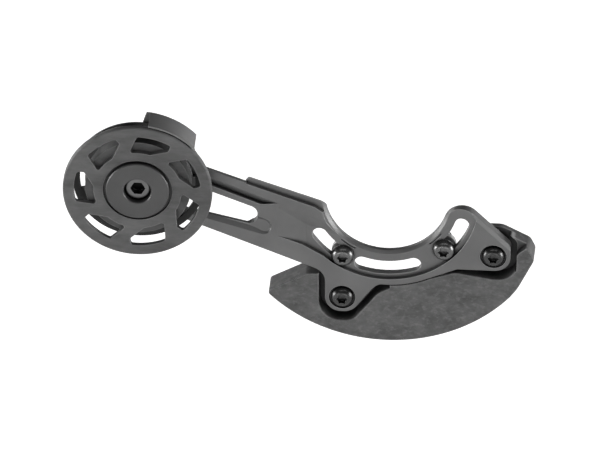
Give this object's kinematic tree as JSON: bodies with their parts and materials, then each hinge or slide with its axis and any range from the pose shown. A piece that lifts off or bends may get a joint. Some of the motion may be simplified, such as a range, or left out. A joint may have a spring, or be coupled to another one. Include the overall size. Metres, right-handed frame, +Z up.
{
  "type": "bicycle chain guide",
  "caption": "Lower bicycle chain guide: slotted crank-side back plate with a long arm, nylon skid under the chainring and a flanged guide pulley with a lip that keeps the chain on it.",
  "frame": {"origin": "crank axis where it meets the mounting plane, the flat back of the plate", "axes": "+X forwards along the bike, +Z up, +Y from the mounting plane towards the frame, so the chain side faces -Y"},
  "size_m": [0.2156, 0.0292, 0.121],
  "materials": {
    "plate": "satin black anodised",
    "skid": "matte moulded nylon",
    "bolt": "black oxide, slightly glossy",
    "insert": "plain",
    "spacer": "plain turned",
    "pulley": "matte moulded",
    "keeper": "matte moulded",
    "cap": "satin black anodised, turned",
    "bearing_steel": "ground",
    "cage": "plain",
    "seal": "matte"
  },
  "bodies": {
    "guide": {"back_plate": "plate", "skid": "skid", "skid_bolts": "bolt", "skid_inserts": "insert", "mount_bolts": "bolt", "mount_spacers": "spacer", "chain_keeper": "keeper", "keeper_screw": "bolt", "bearing_inner_ring": "bearing_steel", "bearing_cap": "cap", "axle_spacer": "spacer", "axle_bolt": "bolt"},
    "pulley_wheel": {"pulley": "pulley", "bearing_outer_ring": "bearing_steel", "bearing_seal_front": "seal", "bearing_seal_rear": "seal", "bearing_circlip": "bearing_steel"},
    "ball_set": {"bearing_cage": "cage", "bearing_balls": "bearing_steel"}
  },
  "joints": [
    {"name": "pulley_spin", "type": "hinge", "parent": "guide", "child": "pulley_wheel", "pos_m": [-0.1133, -0.01, 0.00985], "axis": [0, 1, 0], "continuous": true},
    {"name": "cage_spin", "type": "hinge", "parent": "guide", "child": "ball_set", "pos_m": [-0.1133, -0.01, 0.00985], "axis": [0, 1, 0], "continuous": true}
  ],
  "couplings": [
    {"joint": "cage_spin", "follows": "pulley_spin", "ratio": 0.5641}
  ]
}
